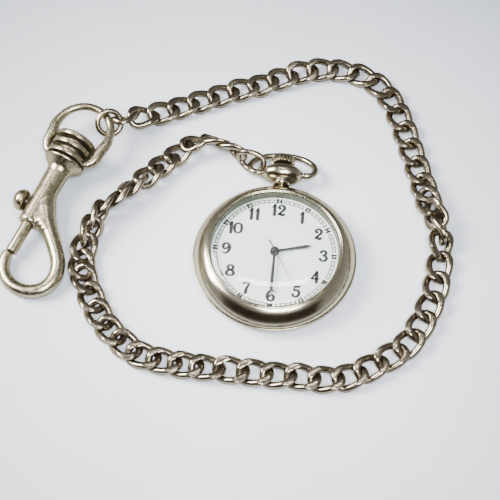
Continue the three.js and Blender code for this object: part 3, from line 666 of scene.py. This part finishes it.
# ---------------------------------------------------------------- dial
# Radius of the ring of figures, and a figure's height, stroke width and share of its height to the next.
HOUR_FIGURE = {"r": 13.95, "height": 3.35, "stroke": 0.86, "advance": 0.76}
SMALL_FIGURE = {"r": 17.0, "height": 1.25, "stroke": 0.47, "advance": 0.8}
TRACK = (16.55, 17.4)  # radii of the two rings, which stop short of each small figure
TRACK_LINE, BOX_LINE = 0.24, 0.26  # widths of the rings and of the strokes between them
TRACK_GAP, BOXES = 5.1, 4  # degrees left for a figure on either side, and boxes between two figures
INK_UNDER, INK = 0.004, 0.03  # underside and top of the print above the dial
# Figures as strokes of (x, y, width) in a box one unit high, centred on zero.
SIX = [[(0.22, 0.40, 0.55), (0.02, 0.48, 0.6), (-0.2, 0.28, 0.9), (-0.29, -0.05, 1.05), (-0.22, -0.36, 0.95),
        (0, -0.5, 0.7), (0.21, -0.4, 0.95), (0.27, -0.17, 1.05), (0.15, 0.04, 0.8), (-0.03, 0.03, 0.6),
        (-0.1, -0.12, 0.7)]]
FIGURES = {
    "0": [[(0, 0.5, 0.6), (0.25, 0.33, 0.9), (0.31, 0, 1), (0.25, -0.33, 0.9), (0, -0.5, 0.6),
           (-0.25, -0.33, 0.9), (-0.31, 0, 1), (-0.25, 0.33, 0.9), (0, 0.5, 0.6)]],
    "1": [[(0.05, 0.5, 1.1), (0.05, 0, 1.15), (0.05, -0.5, 1.1)], [(0.03, 0.46, 0.7), (-0.15, 0.27, 0.5)]],
    "2": [[(-0.15, 0.2, 1.1), (-0.25, 0.3, 0.8), (-0.16, 0.45, 0.7), (0.05, 0.5, 0.8), (0.24, 0.34, 1.05),
           (0.2, 0.1, 1), (-0.02, -0.16, 0.8), (-0.26, -0.42, 0.6)],
          [(-0.27, -0.42, 0.6), (-0.12, -0.35, 1), (0.1, -0.46, 1.1), (0.29, -0.34, 0.6)]],
    "3": [[(-0.22, 0.32, 1), (-0.1, 0.48, 0.7), (0.14, 0.45, 0.9), (0.21, 0.26, 1.05), (0.1, 0.08, 0.7),
           (-0.05, 0.03, 0.5)],
          [(-0.05, 0.03, 0.5), (0.2, -0.04, 0.8), (0.28, -0.25, 1.05), (0.13, -0.46, 0.8), (-0.1, -0.49, 0.7),
           (-0.27, -0.34, 1)]],
    "4": [[(0.12, 0.5, 0.7), (-0.1, 0.15, 0.7), (-0.3, -0.18, 0.7)],
          [(-0.3, -0.18, 0.6), (0, -0.18, 0.7), (0.3, -0.18, 0.6)],
          [(0.12, 0.48, 1), (0.12, 0, 1.1), (0.12, -0.5, 1)]],
    "5": [[(0.23, 0.47, 0.9), (0.05, 0.45, 0.9), (-0.13, 0.46, 0.7)],
          [(-0.13, 0.46, 0.6), (-0.18, 0.06, 0.6)],
          [(-0.18, 0.06, 0.5), (0.05, 0.14, 0.8), (0.25, -0.02, 1.05), (0.24, -0.3, 1), (0.06, -0.48, 0.8),
           (-0.15, -0.46, 0.7), (-0.27, -0.3, 1)]],
    "6": SIX,
    "7": [[(-0.27, 0.36, 0.7), (-0.22, 0.46, 0.8), (0, 0.45, 0.9), (0.28, 0.46, 0.7)],
          [(0.27, 0.45, 0.6), (0.08, 0.1, 0.85), (-0.02, -0.2, 1), (-0.05, -0.5, 1.1)]],
    "8": [[(0, 0.03, 0.7), (0.2, 0.15, 0.9), (0.22, 0.34, 0.9), (0, 0.5, 0.6), (-0.22, 0.34, 0.9),
           (-0.2, 0.15, 0.9), (0, 0.03, 0.7)],
          [(0, 0.03, 0.7), (0.26, -0.12, 0.95), (0.28, -0.36, 1), (0, -0.5, 0.6), (-0.28, -0.36, 1),
           (-0.26, -0.12, 0.95), (0, 0.03, 0.7)]],
    "9": [[(-x, -y, w) for x, y, w in SIX[0]]],
}
NARROW = 0.7  # share of the usual advance that the figure 1 takes


def ribbon(line, widths, low, high, cap=6):
    """Flat stroke with round ends, from low to high."""
    line = np.asarray(line, float)
    tangent = unit(np.gradient(line, axis=0))
    normal = np.stack([-tangent[:, 1], tangent[:, 0]], 1)
    half = np.asarray(widths)[:, None] / 2
    left, right = line + normal * half, line - normal * half
    turn = np.linspace(0, np.pi, cap + 2)[1:-1, None]
    end = line[-1] + half[-1] * (np.cos(turn) * normal[-1] + np.sin(turn) * tangent[-1])
    start = line[0] + half[0] * (-np.cos(turn) * normal[0] - np.sin(turn) * tangent[0])
    outline = np.vstack([left, end, right[::-1], start])
    around, count = len(outline), len(line)
    verts = np.vstack([np.column_stack([outline, np.full(around, z)]) for z in (low, high)])
    sides = [(i, (i + 1) % around, around + (i + 1) % around, around + i) for i in range(around)]
    across = 2 * count + cap - 1  # the numbers of two points that face each other add up to this
    strip = [(i, i + 1, across - i - 1, across - i) for i in range(count - 1)]
    end_fan = tuple(range(count - 1, count + cap + 1))
    start_fan = (0, across) + tuple(range(across + 1, around))
    under = strip + [end_fan, start_fan]
    top = [tuple(around + i for i in face) for face in under]
    return verts, sides + under + top


def figure_shapes(text, style, low, high):
    """Strokes of a number, centred on the origin."""
    shapes, cursor, marks = [], 0.0, []
    height, stroke = style["height"], style["stroke"]
    for ch in text:
        wide = style["advance"] * (NARROW if ch == "1" else 1)
        marks.append((ch, cursor + wide / 2))
        cursor += wide
    for ch, at in marks:
        for points in FIGURES[ch]:
            p = np.array(points)
            fine = smooth_line(p, 0.03)
            xy = fine[:, :2] + [at - cursor / 2, 0]
            shapes.append(ribbon(xy * height, fine[:, 2] * stroke, low, high))
    return shapes


def turned_by(verts, degrees, at=(0, 0)):
    t = math.radians(degrees)
    x = verts[:, 0] * math.cos(t) - verts[:, 1] * math.sin(t) + at[0]
    y = verts[:, 0] * math.sin(t) + verts[:, 1] * math.cos(t) + at[1]
    return np.column_stack([x, y, verts[:, 2]])


def clock(r, degrees):
    """Point at a radius and an angle clockwise from 12."""
    return (r * math.sin(math.radians(degrees)), r * math.cos(math.radians(degrees)))


def arc_band(r0, r1, start, stop, low, high):
    """Printed arc between two radii, with angles clockwise from 12."""
    middle = (r0 + r1) / 2
    angles = np.linspace(start, stop, max(3, int(abs(stop - start) / 1.2) + 2))
    line = np.array([clock(middle, a) for a in angles])
    return ribbon(line, np.full(len(line), r1 - r0), low, high, cap=1)


def build_dial():
    low, high = DIAL_Z + INK_UNDER, DIAL_Z + INK
    hole, rim, thick = 1.3, 18.6, 0.4
    face = rounded([(hole, DIAL_Z - thick), (rim, DIAL_Z - thick), (rim, DIAL_Z), (hole, DIAL_Z)],
                   0.05, closed=True)
    make_piece("dial_plate", revolved(face, 192, closed=True), DIAL, "case", ["dial"], 40)
    hours, small, track = [], [], []
    for hour in range(1, 13):
        at = clock(HOUR_FIGURE["r"], 30 * hour)
        for verts, faces in figure_shapes(str(hour), HOUR_FIGURE, low, high):
            hours.append((turned_by(verts, 0, at), faces))
        at = clock(SMALL_FIGURE["r"], 30 * hour)
        for verts, faces in figure_shapes(str(hour + 12), SMALL_FIGURE, low, high):
            small.append((turned_by(verts, -30 * hour, at), faces))
        first, last = 30 * hour + TRACK_GAP, 30 * (hour + 1) - TRACK_GAP
        for r in TRACK:
            track.append(arc_band(r - TRACK_LINE / 2, r + TRACK_LINE / 2, first, last, low, high))
        for k in range(BOXES + 1):
            angle = first + (last - first) * k / BOXES
            line = np.array([clock(r, angle) for r in np.linspace(TRACK[0], TRACK[1], 4)])
            track.append(ribbon(line, np.full(4, BOX_LINE), low, high, cap=1))
    make_piece("hour_figures", merged(hours), PRINT, "case")
    make_piece("day_figures", merged(small), PRINT, "case")
    make_piece("minute_track", merged(track), PRINT, "case")


build_dial()


# ---------------------------------------------------------------- hands
def blade(points, z, thick, ridge):
    """Hand from (distance, half width) pairs, with bevelled sides and a low central ridge."""
    rows, verts = len(points), []
    for along, half in points:
        top = z + thick
        verts += [(-half, along, z), (-half, along, top - 0.4 * thick), (-0.55 * half, along, top),
                  (0, along, top + ridge), (0.55 * half, along, top), (half, along, top - 0.4 * thick),
                  (half, along, z)]
    verts = np.array(verts)
    faces = grid_faces(rows, 7, False)
    faces += [tuple(range(7)), tuple((rows - 1) * 7 + j for j in range(7))]
    return verts, faces


def boss(r, bore, z0, z1):
    return revolved(rounded([(bore, z0), (r, z0), (r, z1), (bore, z1)], 0.09, closed=True), 64, closed=True)


def clockwise(shape, degrees):
    verts, faces = shape
    return turned_by(verts, -degrees), faces


def tapered(length, root, mid):
    """Outline of a hand that widens slowly from its root and then runs to a point."""
    return [(0.9, root), (0.3 * length, 0.94 * root + 0.06 * mid), (0.6 * length, 0.5 * (root + mid)),
            (0.86 * length, mid), (0.93 * length, 0.62 * mid), (0.985 * length, 0.2 * mid),
            (length, 0.06 * mid)]


HOUR_AT, MINUTE_AT, SECOND_AT = 75, 180, 150  # degrees clockwise from 12
HOUR_Z, MINUTE_Z, SECOND_Z = 6.72, 7.35, 7.85  # undersides of the hands
HAND_THICK, HAND_RIDGE, BOSS_HEIGHT = 0.18, 0.05, 0.21


def build_hands():
    hour = merged([blade(tapered(10.7, 0.4, 0.52), HOUR_Z, HAND_THICK, HAND_RIDGE),
                   boss(1.35, 0.98, HOUR_Z, HOUR_Z + BOSS_HEIGHT)])
    make_piece("hour_baton", clockwise(hour, HOUR_AT), INK_HANDS, "hours", ["hour_hand"], 30)
    minute = merged([blade(tapered(14, 0.36, 0.52), MINUTE_Z, HAND_THICK, HAND_RIDGE),
                     boss(1.2, 0.58, MINUTE_Z, MINUTE_Z + BOSS_HEIGHT)])
    make_piece("minute_baton", clockwise(minute, MINUTE_AT), INK_HANDS, "minutes",
               ["minute_hand"], 30)
    needle = blade([(-3.6, 0.2), (-3.4, 0.22), (-1.2, 0.17), (0, 0.14), (5, 0.1), (13, 0.06)],
                   SECOND_Z, 0.1, 0.02)
    cap = revolved(rounded([(0, 7.8), (0.8, 7.8), (0.8, 8.06), (0.55, 8.12), (0, 8.13)], 0.08), 48)
    make_piece("second_needle", clockwise(merged([needle, cap]), SECOND_AT), INK_HANDS, "seconds",
               ["second_hand"], 30)


build_hands()

# ---------------------------------------------------------------- pendant, crown, bow
STEM_Z = 4.4  # height of the stem's axis
PENDANT_Y = 27.7  # middle of the pendant's bulb, where the bow's pins are
PENDANT_HALF_X, PENDANT_HALF_Y, PENDANT_HALF_Z = 6.05, 3.1, 4.0
BOW_TILT = 21.3  # degrees by which the bow leans down to the table
BOW_WIRE = 0.9
PIN_R = 0.62
CROWN_R = 3.5
Y_AXIS = (np.array([1.0, 0, 0]), np.array([0, 0, -1.0]), np.array([0, 1.0, 0]))


def along_y(shape):
    """Shape turned so that its Z axis lies along the stem."""
    verts, faces = shape
    return moved(verts, Y_AXIS, (0, 0, STEM_Z)), faces


def build_pendant():
    t = np.linspace(0, np.pi, 48)
    ball = [(math.sin(a), -math.cos(a)) for a in t]
    verts, faces = revolved([(0 if r < 1e-6 else r, z) for r, z in ball], 96)
    verts = verts * [PENDANT_HALF_X, PENDANT_HALF_Z, PENDANT_HALF_Y]
    top = PENDANT_HALF_Y - 0.3
    verts[:, 2] = np.minimum(verts[:, 2], top)
    bulb = (moved(verts, Y_AXIS, (0, PENDANT_Y, STEM_Z)), faces)
    make_piece("pendant_bulb", bulb, CASE_WORN, "case", ["pendant"], 50)
    neck = rounded([(0.9, 23.5), (2.3, 23.5), (2.55, 23.9), (2.6, 24.2), (2.5, 24.55), (2.2, 24.75),
                    (2.1, 24.85), (2.2, 24.98), (2.25, 25.2), (2.15, 25.45), (1.9, 25.6), (1.9, 26.6),
                    (0.9, 26.6)], 0.12, closed=True)
    make_piece("neck_rings", along_y(revolved(neck, 96, closed=True)), CASE_WORN, "case")
    eyes = []
    for side in (-1, 1):
        lip = rounded([(0.72, 5.1), (1.15, 5.3), (1.08, 5.95), (0.72, 6.1)], 0.08, closed=True)
        verts, faces = revolved(lip, 40, closed=True)
        columns = (np.array([0, 1.0, 0]), np.array([0, 0, 1.0]), np.array([side, 0, 0.0]))
        eyes.append((moved(verts, columns, (0, PENDANT_Y, STEM_Z)), faces))
    make_piece("bow_sockets", merged(eyes), CASE_WORN, "case")


def build_crown():
    """Ribbed crown: the radius rises and falls round it, and the ribs fade at the domed end."""
    y0, y1 = node_box("crown")[0][1], node_box("crown")[1][1]
    flutes, around = 20, 320
    profile = [(1.02, y0 + 0.9, 0), (1.02, y0 + 0.02, 0), (2.8, y0 + 0.02, 0), (3.15, y0 + 0.1, 0.5),
               (CROWN_R - 0.02, y0 + 0.3, 1), (CROWN_R, y0 + 1.0, 1), (CROWN_R, y1 - 0.7, 1),
               (CROWN_R - 0.06, y1 - 0.45, 1), (CROWN_R - 0.3, y1 - 0.22, 0.7), (2.7, y1 - 0.08, 0.2),
               (1.6, y1 - 0.03, 0), (0, y1, 0)]
    verts, faces = revolved([(r, y) for r, y, _ in profile], around)
    rib = np.zeros(len(verts))
    row = 0
    for r, _, depth in profile:
        count = 1 if r < 1e-6 else around
        turn = np.arctan2(verts[row:row + count, 1], verts[row:row + count, 0])
        wave = 0.5 + 0.5 * np.cos(flutes * turn)
        rib[row:row + count] = 0.5 * depth * np.clip(1.15 - 1.7 * wave, 0, 1)
        row += count
    radius = np.maximum(np.hypot(verts[:, 0], verts[:, 1]), 1e-9)
    verts[:, :2] *= (1 - rib / radius)[:, None]
    make_piece("crown_ribbed", along_y((verts, faces)), CASE_WORN, "crown", ["crown"], 35)


def build_bow():
    half = [(6.3, 0), (7.6, 0), (9.1, 0.8), (9.8, 2.9), (8.9, 5.7), (5.5, 8.4), (0, 9.4)]
    points = [(x, y, 0) for x, y in half] + [(-x, y, 0) for x, y in half[-2::-1]]
    line = smooth_line(points, 0.25)
    radius = np.full(len(line), BOW_WIRE)
    radius[0] = radius[-1] = BOW_WIRE - 0.1
    parts = [swept(line, radius, 24)]
    for side in (-1, 1):
        pin = [(side * x, 0, 0) for x in (4.7, 5.2, 5.8, 6.4)]
        parts.append(swept(pin, PIN_R, 16))
    verts, faces = merged(parts)
    t = math.radians(-BOW_TILT)
    columns = (np.array([1.0, 0, 0]), np.array([0, math.cos(t), math.sin(t)]),
               np.array([0, -math.sin(t), math.cos(t)]))
    make_piece("bow_ring", (moved(verts, columns, (0, PENDANT_Y, STEM_Z)), faces), CASE_WORN, "bow",
               ["bow"], 40)


build_pendant()
build_crown()
build_bow()

# ---------------------------------------------------------------- snap hook
HOOK_AT = np.array([-65, 25.1, 6.3])  # on the hook's axis, where the barrel meets the eye's washer
HOOK_YAW, HOOK_PITCH = math.radians(-20), math.radians(5.8)
HOOK_U = np.array([math.cos(HOOK_YAW), math.sin(HOOK_YAW), 0])
HOOK_V = np.array([-math.sin(HOOK_YAW) * math.cos(HOOK_PITCH), math.cos(HOOK_YAW) * math.cos(HOOK_PITCH),
                   math.sin(HOOK_PITCH)])
HOOK_W = np.cross(HOOK_U, HOOK_V)
BOLT_R = 1.75
BOLT_CLEARANCE = 0.12
KNOB_V = -16.4  # where the thumb knob stands along the hook's axis


def in_hook(shape):
    """Shape given across (u), along (v) and above (w) the hook's axis."""
    verts, faces = shape
    return moved(verts, (HOOK_U, HOOK_V, HOOK_W), HOOK_AT), faces


def about_hook(shape):
    """Revolved shape whose Z axis is the hook's own axis."""
    verts, faces = shape
    return moved(verts, (HOOK_U, -HOOK_W, HOOK_V), HOOK_AT), faces


def apply_modifiers(obj):
    bpy.context.view_layer.update()
    graph = bpy.context.evaluated_depsgraph_get()
    mesh = bpy.data.meshes.new_from_object(obj.evaluated_get(graph))
    obj.modifiers.clear()
    obj.data = mesh


def fused(name, shapes, voxel, smooth_turns, cuts=()):
    """Closed shapes melted into one casting, smoothed, then cut."""
    obj = raw_object(name, merged(shapes))
    remesh = obj.modifiers.new("melt", "REMESH")
    remesh.mode = "VOXEL"
    remesh.voxel_size = voxel * MM
    soften = obj.modifiers.new("soften", "SMOOTH")
    soften.factor = 0.5
    soften.iterations = smooth_turns
    apply_modifiers(obj)
    tools = []
    for i, shape in enumerate(cuts):
        tool = raw_object(f"{name}_cut_{i}", shape)
        tools.append(tool)
        cut = obj.modifiers.new(f"cut_{i}", "BOOLEAN")
        cut.operation = "DIFFERENCE"
        cut.solver = "EXACT"
        cut.object = tool
    if cuts:
        apply_modifiers(obj)
        for tool in tools:
            bpy.data.objects.remove(tool)
    return obj


def box_shape(u, v, w):
    verts = np.array([(a, b, c) for a in u for b in v for c in w], float)
    faces = [(0, 1, 3, 2), (4, 6, 7, 5), (0, 4, 5, 1), (2, 3, 7, 6), (0, 2, 6, 4), (1, 5, 7, 3)]
    return verts, faces


def build_hook():
    barrel = rounded([(0, -22.6), (2.9, -22.6), (3.22, -22.3), (3.28, -21.6), (3.2, -20.8), (3.3, -10),
                      (3.45, -4.4), (3.9, -3.1), (6.05, -1.15), (6.2, -0.8), (6.15, -0.3), (2, 0), (2, 2.4),
                      (0, 2.4)], 0.35)
    line = smooth_line([(0.5, -11, 0), (3.0, -16.6, 0), (6.4, -21.3, 0), (10.8, -25.8, 0), (14.2, -30, 0),
                        (15.5, -34.6, 0), (13.9, -39, 0), (9.6, -41.4, 0), (4.8, -41.1, 0), (1.2, -38.6, 0),
                        (-0.5, -35.2, 0), (-0.6, -32.9, 0)], 0.4)
    t = np.linspace(0, 1, len(line))
    radius = 1.72 + 0.8 * np.exp(-(((t - 0.12) / 0.17) ** 2)) + 0.42 * np.sin(np.pi * t) ** 2
    web = []  # a fan of bars between the barrel and the root of the loop
    for s in np.linspace(0, 1, 5):
        web_line = smooth_line([(0.3, -10, 0), (0.7 + 1.7 * s, -16, 0),
                                (1.5 + 5.1 * s, -19.8 - 2.6 * s, 0)], 0.5)
        along = np.linspace(0, 1, len(web_line))
        thick = np.interp(along, [0, 0.5, 1], [2.5, 3.05, 2.8 - 0.4 * s])
        web.append(in_hook(swept(web_line, thick, 32)))
    bore_r = BOLT_R + BOLT_CLEARANCE
    bore = revolved([(0, -25), (bore_r, -25), (bore_r, -7), (0, -7)], 64)
    slot = box_shape((-6, 0), (-18.4, -10.2), (-1.1, 1.1))
    solids = [about_hook(revolved(barrel, 96)), in_hook(swept(line, radius, 32))] + web
    cuts = [about_hook(bore), in_hook(slot)]
    cast = fused("hook_casting", solids, voxel=0.2, smooth_turns=22, cuts=cuts)
    finish_piece(cast, HOOK, "hook", ["hook_body"], 35)

    head = rounded([(0, 2.75), (3.6, 2.75), (3.6, 3.5), (6.1, 3.5), (6.2, 4.85), (3.3, 4.9), (3.3, 6.3),
                    (6.2, 6.35), (6.3, 7.5), (5.9, 7.95), (0, 8.1)], 0.18)
    make_piece("swivel_rings", about_hook(revolved(head, 128)), HOOK, "hook", ["swivel_head"], 35)

    eye_line = smooth_line([(-5.2, 1.15, 0), (-6.9, 1.7, 0), (-8.1, 4, 0), (-8.35, 7.5, 0), (-8.75, 11, 0),
                            (-7.3, 15.7, 0), (-3.9, 18.8, 0), (0, 19.65, 0), (3.9, 18.8, 0), (7.3, 15.7, 0),
                            (8.75, 11, 0), (8.35, 7.5, 0), (8.1, 4, 0), (6.9, 1.7, 0), (5.2, 1.15, 0)], 0.35)
    t = np.linspace(-1, 1, len(eye_line))
    eye_radius = 1.15 + 0.5 * np.exp(-(((np.abs(t) - 0.68) / 0.22) ** 2))
    washer = rounded([(0, 0.35), (6.25, 0.35), (6.3, 1.8), (0, 1.8)], 0.3)
    bore = revolved([(0, -1), (2.15, -1), (2.15, 3), (0, 3)], 48)
    solids = [in_hook(swept(eye_line, eye_radius, 28)), about_hook(revolved(washer, 128))]
    eye = fused("eye_ring", solids, voxel=0.16, smooth_turns=3, cuts=[about_hook(bore)])
    finish_piece(eye, HOOK, "case", ["swivel_eye"], 40)

    rod = rounded([(0, -32.5), (1.45, -32.5), (BOLT_R, -32.2), (BOLT_R, -13.2), (0.7, -13.2), (0.7, -11.6),
                   (0, -11.6)], 0.12)
    knob = rounded([(0, 2.05), (0.85, 2.05), (0.85, 3.9), (2.6, 3.95), (3.15, 4.4), (3.3, 5.15), (3.1, 6.1),
                    (2.5, 7.0), (1.5, 7.65), (0.7, 7.9), (0, 7.95)], 0.35)
    verts, faces = revolved(knob, 72)
    sideways = (np.array([0, 1.0, 0]), np.array([0, 0, -1.0]), np.array([-1.0, 0, 0]))
    knob_shape = (moved(verts, sideways, (0, KNOB_V, 0)), faces)
    make_piece("bolt_rod", about_hook(revolved(rod, 64)), HOOK, "trigger", ["trigger_bolt"], 35)
    make_piece("thumb_knob", in_hook(knob_shape), HOOK, "trigger", ["trigger_knob"], 35)
    return cast, eye


CAST, EYE = build_hook()


# ---------------------------------------------------------------- table and light
def build_table():
    half = 900.0  # half of the table's side
    verts = np.array([(-half, -half, 0), (half, -half, 0), (half, half, 0), (-half, half, 0)])
    mesh = bpy.data.meshes.new("table")
    mesh.from_pydata((verts * MM).tolist(), [], [(0, 1, 2, 3)])
    mesh.materials.append(table_paper())
    table = bpy.data.objects.new("table", mesh)
    bpy.context.scene.collection.objects.link(table)


def build_world():
    """Pale room with one dark side low in front, which polished metal shows as dark bands."""
    world = bpy.data.worlds.new("room")
    world.use_nodes = True
    bpy.context.scene.world = world
    tree = world.node_tree
    background = tree.nodes["Background"]
    coord = tree.nodes.new("ShaderNodeTexCoord")
    split = tree.nodes.new("ShaderNodeSeparateXYZ")
    tree.links.new(coord.outputs["Generated"], split.inputs[0])

    def ramp(source, stops):
        node = tree.nodes.new("ShaderNodeValToRGB")
        tree.links.new(source, node.inputs[0])
        while len(node.color_ramp.elements) < len(stops):
            node.color_ramp.elements.new(0.5)
        for element, (at, value) in zip(node.color_ramp.elements, stops):
            element.position = at
            element.color = (value, value, value, 1)
        return node.outputs[0]

    def maths(operation, a, b):
        node = tree.nodes.new("ShaderNodeMath")
        node.operation = operation
        for socket, value in zip(node.inputs, (a, b)):
            if isinstance(value, bpy.types.NodeSocket):
                tree.links.new(value, socket)
            else:
                socket.default_value = value
        return node.outputs[0]

    front = ramp(maths("MULTIPLY", split.outputs["Y"], -1.0), [(0.3, 0.0), (0.42, 1.0)])
    low = ramp(split.outputs["Z"], [(0.0, 1.0), (0.6, 1.0), (0.74, 0.0)])
    middle = ramp(maths("ABSOLUTE", split.outputs["X"], 0.0), [(0.78, 1.0), (0.88, 0.0)])
    dark = maths("MULTIPLY", maths("MULTIPLY", front, low), middle)
    above = ramp(split.outputs["Z"], [(0.0, 0.6), (0.4, 0.48), (0.75, 0.33), (0.95, 0.5)])
    sky = maths("MULTIPLY", above, ramp(split.outputs["Y"], [(0.6, 1.0), (0.86, 0.3)]))
    mix = tree.nodes.new("ShaderNodeMix")
    mix.data_type = "RGBA"
    tree.links.new(dark, mix.inputs["Factor"])
    tree.links.new(sky, mix.inputs["A"])
    mix.inputs["B"].default_value = (0.035, 0.022, 0.015, 1)
    tree.links.new(mix.outputs["Result"], background.inputs["Color"])
    background.inputs["Strength"].default_value = 1.0


def build_lights():
    """Area lights, each turned to face the watch."""
    for name, at, size, power, colour in (
        ("key", (-430, 60, 380), (300, 300), 12.0, (1.0, 0.99, 0.97)),
        ("fill", (60, -200, 430), (220, 220), 4.9, (0.97, 0.985, 1.0)),
        ("strip", (-20, 240, 770), (300, 34), 1.1, (1.0, 1.0, 1.0)),
    ):
        data = bpy.data.lights.new(name, "AREA")
        data.shape = "RECTANGLE"
        data.size, data.size_y = [v * MM for v in size]
        data.energy = power
        data.color = colour
        lamp = bpy.data.objects.new(name, data)
        lamp.location = Vector([v * MM for v in at])
        lamp.rotation_euler = (-lamp.location).to_track_quat("-Z", "Y").to_euler()
        bpy.context.scene.collection.objects.link(lamp)


build_table()
build_world()
build_lights()
